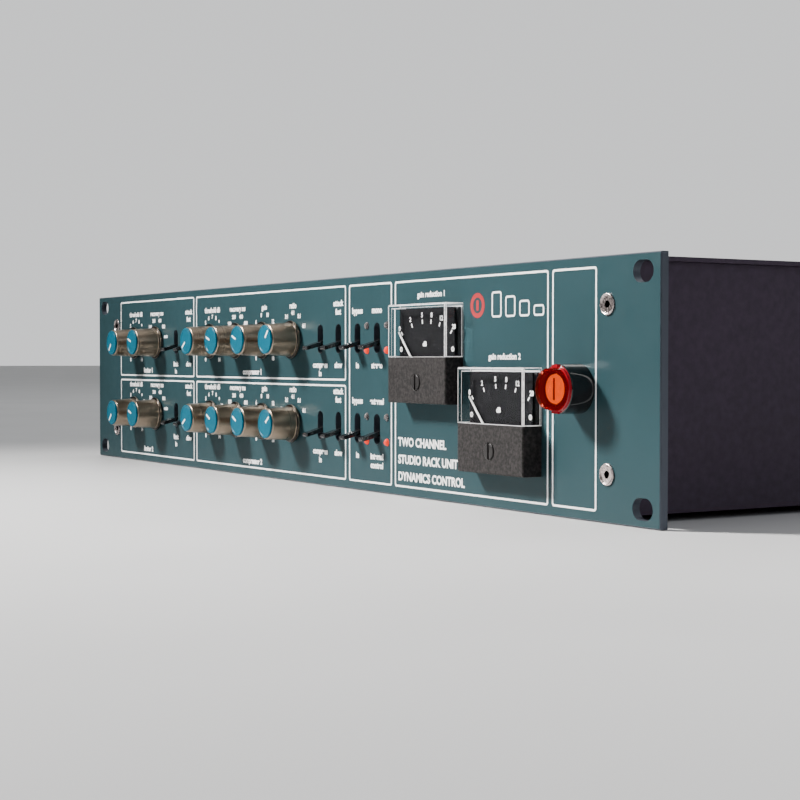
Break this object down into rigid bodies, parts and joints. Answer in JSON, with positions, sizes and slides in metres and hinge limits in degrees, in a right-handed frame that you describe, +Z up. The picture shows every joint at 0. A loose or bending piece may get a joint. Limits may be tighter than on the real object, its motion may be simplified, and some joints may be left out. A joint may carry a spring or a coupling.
{
  "type": "rack compressor",
  "caption": "Two-channel studio limiter/compressor in a two-unit rack case: turned metal knobs with blue caps, flat toggles, moving-coil meters and a lit red power button.",
  "frame": {"origin": "centre of the four rack slots on the front panel's rear face", "axes": "+X to the right seen from the front, +Y back into the rack, +Z up"},
  "size_m": [0.4826, 0.2757, 0.0882],
  "materials": {
    "panel_paint": "satin blue-green paint with white print",
    "case_paint": "fine-textured dark paint",
    "screw_steel": "bright zinc",
    "black_screw": "blackened",
    "knob_metal": "turned satin",
    "cap_plastic": "semi-gloss",
    "lever_plastic": "gloss",
    "control_metal": "nickel plated",
    "switch_plastic": "moulded",
    "lamp_lens": "diffused lens",
    "barrel_plastic": "polished",
    "button_lens": "translucent, lit",
    "window_acrylic": "clear polished",
    "meter_cover_plastic": "grained",
    "dial_print": "printed",
    "movement_plastic": "moulded",
    "needle_paint": "satin white",
    "adjuster_plastic": "moulded",
    "board_laminate": "solder mask",
    "transformer_steel": "satin",
    "mains_core": "taped winding",
    "inlet_plastic": "moulded",
    "socket_metal": "black"
  },
  "bodies": {
    "case": {"front_panel": "panel_paint", "chassis": "case_paint", "top_cover": "case_paint", "rear_panel": "case_paint", "panel_screws": "screw_steel", "case_screws": "black_screw", "rotary_controls": "control_metal", "toggle_bodies": "switch_plastic", "indicator_lamps": "lamp_lens", "power_switch_body": "barrel_plastic", "meter_windows": "window_acrylic", "meter_covers": "meter_cover_plastic", "meter_dials": "dial_print", "meter_movements": "movement_plastic", "circuit_boards": "board_laminate", "audio_transformers": "transformer_steel", "mains_transformer": "mains_core", "mains_inlet": "inlet_plastic", "xlr_sockets": "socket_metal"},
    "knob_limit_threshold_1": {"knob_limit_threshold_1": "knob_metal", "cap_limit_threshold_1": "cap_plastic"},
    "knob_limit_recovery_1": {"knob_limit_recovery_1": "knob_metal", "cap_limit_recovery_1": "cap_plastic"},
    "knob_compress_threshold_1": {"knob_compress_threshold_1": "knob_metal", "cap_compress_threshold_1": "cap_plastic"},
    "knob_compress_recovery_1": {"knob_compress_recovery_1": "knob_metal", "cap_compress_recovery_1": "cap_plastic"},
    "knob_gain_1": {"knob_gain_1": "knob_metal", "cap_gain_1": "cap_plastic"},
    "knob_ratio_1": {"knob_ratio_1": "knob_metal", "cap_ratio_1": "cap_plastic"},
    "knob_limit_threshold_2": {"knob_limit_threshold_2": "knob_metal", "cap_limit_threshold_2": "cap_plastic"},
    "knob_limit_recovery_2": {"knob_limit_recovery_2": "knob_metal", "cap_limit_recovery_2": "cap_plastic"},
    "knob_compress_threshold_2": {"knob_compress_threshold_2": "knob_metal", "cap_compress_threshold_2": "cap_plastic"},
    "knob_compress_recovery_2": {"knob_compress_recovery_2": "knob_metal", "cap_compress_recovery_2": "cap_plastic"},
    "knob_gain_2": {"knob_gain_2": "knob_metal", "cap_gain_2": "cap_plastic"},
    "knob_ratio_2": {"knob_ratio_2": "knob_metal", "cap_ratio_2": "cap_plastic"},
    "lever_limit_in_1": {"lever_limit_in_1": "lever_plastic"},
    "lever_limit_attack_1": {"lever_limit_attack_1": "lever_plastic"},
    "lever_compress_in_1": {"lever_compress_in_1": "lever_plastic"},
    "lever_compress_attack_1": {"lever_compress_attack_1": "lever_plastic"},
    "lever_bypass_1": {"lever_bypass_1": "lever_plastic"},
    "lever_mono_stereo": {"lever_mono_stereo": "lever_plastic"},
    "lever_limit_in_2": {"lever_limit_in_2": "lever_plastic"},
    "lever_limit_attack_2": {"lever_limit_attack_2": "lever_plastic"},
    "lever_compress_in_2": {"lever_compress_in_2": "lever_plastic"},
    "lever_compress_attack_2": {"lever_compress_attack_2": "lever_plastic"},
    "lever_bypass_2": {"lever_bypass_2": "lever_plastic"},
    "lever_control_source": {"lever_control_source": "lever_plastic"},
    "needle_1": {"needle_1": "needle_paint"},
    "zero_adjuster_1": {"zero_adjuster_1": "adjuster_plastic"},
    "needle_2": {"needle_2": "needle_paint"},
    "zero_adjuster_2": {"zero_adjuster_2": "adjuster_plastic"},
    "power_button": {"power_button": "button_lens"}
  },
  "joints": [
    {"name": "limit_threshold_1_turn", "type": "hinge", "parent": "case", "child": "knob_limit_threshold_1", "pos_m": [-0.1875, -0.003, 0.0185], "axis": [0, 1, 0], "range_deg": [-10, 290]},
    {"name": "limit_recovery_1_turn", "type": "hinge", "parent": "case", "child": "knob_limit_recovery_1", "pos_m": [-0.1595, -0.003, 0.0185], "axis": [0, 1, 0], "range_deg": [-5, 145]},
    {"name": "compress_threshold_1_turn", "type": "hinge", "parent": "case", "child": "knob_compress_threshold_1", "pos_m": [-0.0915, -0.003, 0.0185], "axis": [0, 1, 0], "range_deg": [-26, 274]},
    {"name": "compress_recovery_1_turn", "type": "hinge", "parent": "case", "child": "knob_compress_recovery_1", "pos_m": [-0.0635, -0.003, 0.0185], "axis": [0, 1, 0], "range_deg": [-4, 146]},
    {"name": "gain_1_turn", "type": "hinge", "parent": "case", "child": "knob_gain_1", "pos_m": [-0.0355, -0.003, 0.0185], "axis": [0, 1, 0], "range_deg": [-82, 218]},
    {"name": "ratio_1_turn", "type": "hinge", "parent": "case", "child": "knob_ratio_1", "pos_m": [-0.0075, -0.003, 0.0185], "axis": [0, 1, 0], "range_deg": [-100, 20]},
    {"name": "limit_threshold_2_turn", "type": "hinge", "parent": "case", "child": "knob_limit_threshold_2", "pos_m": [-0.1875, -0.003, -0.0185], "axis": [0, 1, 0], "range_deg": [-10, 290]},
    {"name": "limit_recovery_2_turn", "type": "hinge", "parent": "case", "child": "knob_limit_recovery_2", "pos_m": [-0.1595, -0.003, -0.0185], "axis": [0, 1, 0], "range_deg": [-5, 145]},
    {"name": "compress_threshold_2_turn", "type": "hinge", "parent": "case", "child": "knob_compress_threshold_2", "pos_m": [-0.0915, -0.003, -0.0185], "axis": [0, 1, 0], "range_deg": [-26, 274]},
    {"name": "compress_recovery_2_turn", "type": "hinge", "parent": "case", "child": "knob_compress_recovery_2", "pos_m": [-0.0635, -0.003, -0.0185], "axis": [0, 1, 0], "range_deg": [-12, 138]},
    {"name": "gain_2_turn", "type": "hinge", "parent": "case", "child": "knob_gain_2", "pos_m": [-0.0355, -0.003, -0.0185], "axis": [0, 1, 0], "range_deg": [-87, 213]},
    {"name": "ratio_2_turn", "type": "hinge", "parent": "case", "child": "knob_ratio_2", "pos_m": [-0.0075, -0.003, -0.0185], "axis": [0, 1, 0], "range_deg": [-112, 8]},
    {"name": "limit_in_1_flip", "type": "hinge", "parent": "case", "child": "lever_limit_in_1", "pos_m": [-0.1352, 0.0035, 0.0185], "axis": [-1, 0, 0], "range_deg": [0, 32]},
    {"name": "limit_attack_1_flip", "type": "hinge", "parent": "case", "child": "lever_limit_attack_1", "pos_m": [-0.1194, 0.0035, 0.0185], "axis": [-1, 0, 0], "range_deg": [0, 32]},
    {"name": "compress_in_1_flip", "type": "hinge", "parent": "case", "child": "lever_compress_in_1", "pos_m": [0.0177, 0.0035, 0.0185], "axis": [-1, 0, 0], "range_deg": [0, 32]},
    {"name": "compress_attack_1_flip", "type": "hinge", "parent": "case", "child": "lever_compress_attack_1", "pos_m": [0.0335, 0.0035, 0.0185], "axis": [-1, 0, 0], "range_deg": [0, 32]},
    {"name": "bypass_1_flip", "type": "hinge", "parent": "case", "child": "lever_bypass_1", "pos_m": [0.0497, 0.0035, 0.0185], "axis": [-1, 0, 0], "range_deg": [0, 32]},
    {"name": "mono_stereo_flip", "type": "hinge", "parent": "case", "child": "lever_mono_stereo", "pos_m": [0.0655, 0.0035, 0.0185], "axis": [-1, 0, 0], "range_deg": [0, 32]},
    {"name": "limit_in_2_flip", "type": "hinge", "parent": "case", "child": "lever_limit_in_2", "pos_m": [-0.1352, 0.0035, -0.0185], "axis": [-1, 0, 0], "range_deg": [0, 32]},
    {"name": "limit_attack_2_flip", "type": "hinge", "parent": "case", "child": "lever_limit_attack_2", "pos_m": [-0.1194, 0.0035, -0.0185], "axis": [-1, 0, 0], "range_deg": [0, 32]},
    {"name": "compress_in_2_flip", "type": "hinge", "parent": "case", "child": "lever_compress_in_2", "pos_m": [0.0177, 0.0035, -0.0185], "axis": [-1, 0, 0], "range_deg": [0, 32]},
    {"name": "compress_attack_2_flip", "type": "hinge", "parent": "case", "child": "lever_compress_attack_2", "pos_m": [0.0335, 0.0035, -0.0185], "axis": [-1, 0, 0], "range_deg": [0, 32]},
    {"name": "bypass_2_flip", "type": "hinge", "parent": "case", "child": "lever_bypass_2", "pos_m": [0.0497, 0.0035, -0.0185], "axis": [-1, 0, 0], "range_deg": [0, 32]},
    {"name": "control_source_flip", "type": "hinge", "parent": "case", "child": "lever_control_source", "pos_m": [0.0655, 0.0035, -0.0185], "axis": [-1, 0, 0], "range_deg": [0, 32]},
    {"name": "needle_1_swing", "type": "hinge", "parent": "case", "child": "needle_1", "pos_m": [0.108, -0.0075, 0.0011], "axis": [0, 1, 0], "range_deg": [0, 88], "stiffness_Nm_per_rad": 0.0001, "springref_deg": -11.46},
    {"name": "zero_adjuster_1_turn", "type": "hinge", "parent": "case", "child": "zero_adjuster_1", "pos_m": [0.108, -0.011, 0.0011], "axis": [0, 1, 0], "continuous": true},
    {"name": "needle_2_swing", "type": "hinge", "parent": "case", "child": "needle_2", "pos_m": [0.1574, -0.0075, -0.0229], "axis": [0, 1, 0], "range_deg": [0, 88], "stiffness_Nm_per_rad": 0.0001, "springref_deg": -11.46},
    {"name": "zero_adjuster_2_turn", "type": "hinge", "parent": "case", "child": "zero_adjuster_2", "pos_m": [0.1574, -0.011, -0.0229], "axis": [0, 1, 0], "continuous": true},
    {"name": "power_push", "type": "slide", "parent": "case", "child": "power_button", "axis": [0, 1, 0], "range_m": [0, 0.0025], "stiffness_N_per_m": 400, "springref_m": -0.002}
  ]
}
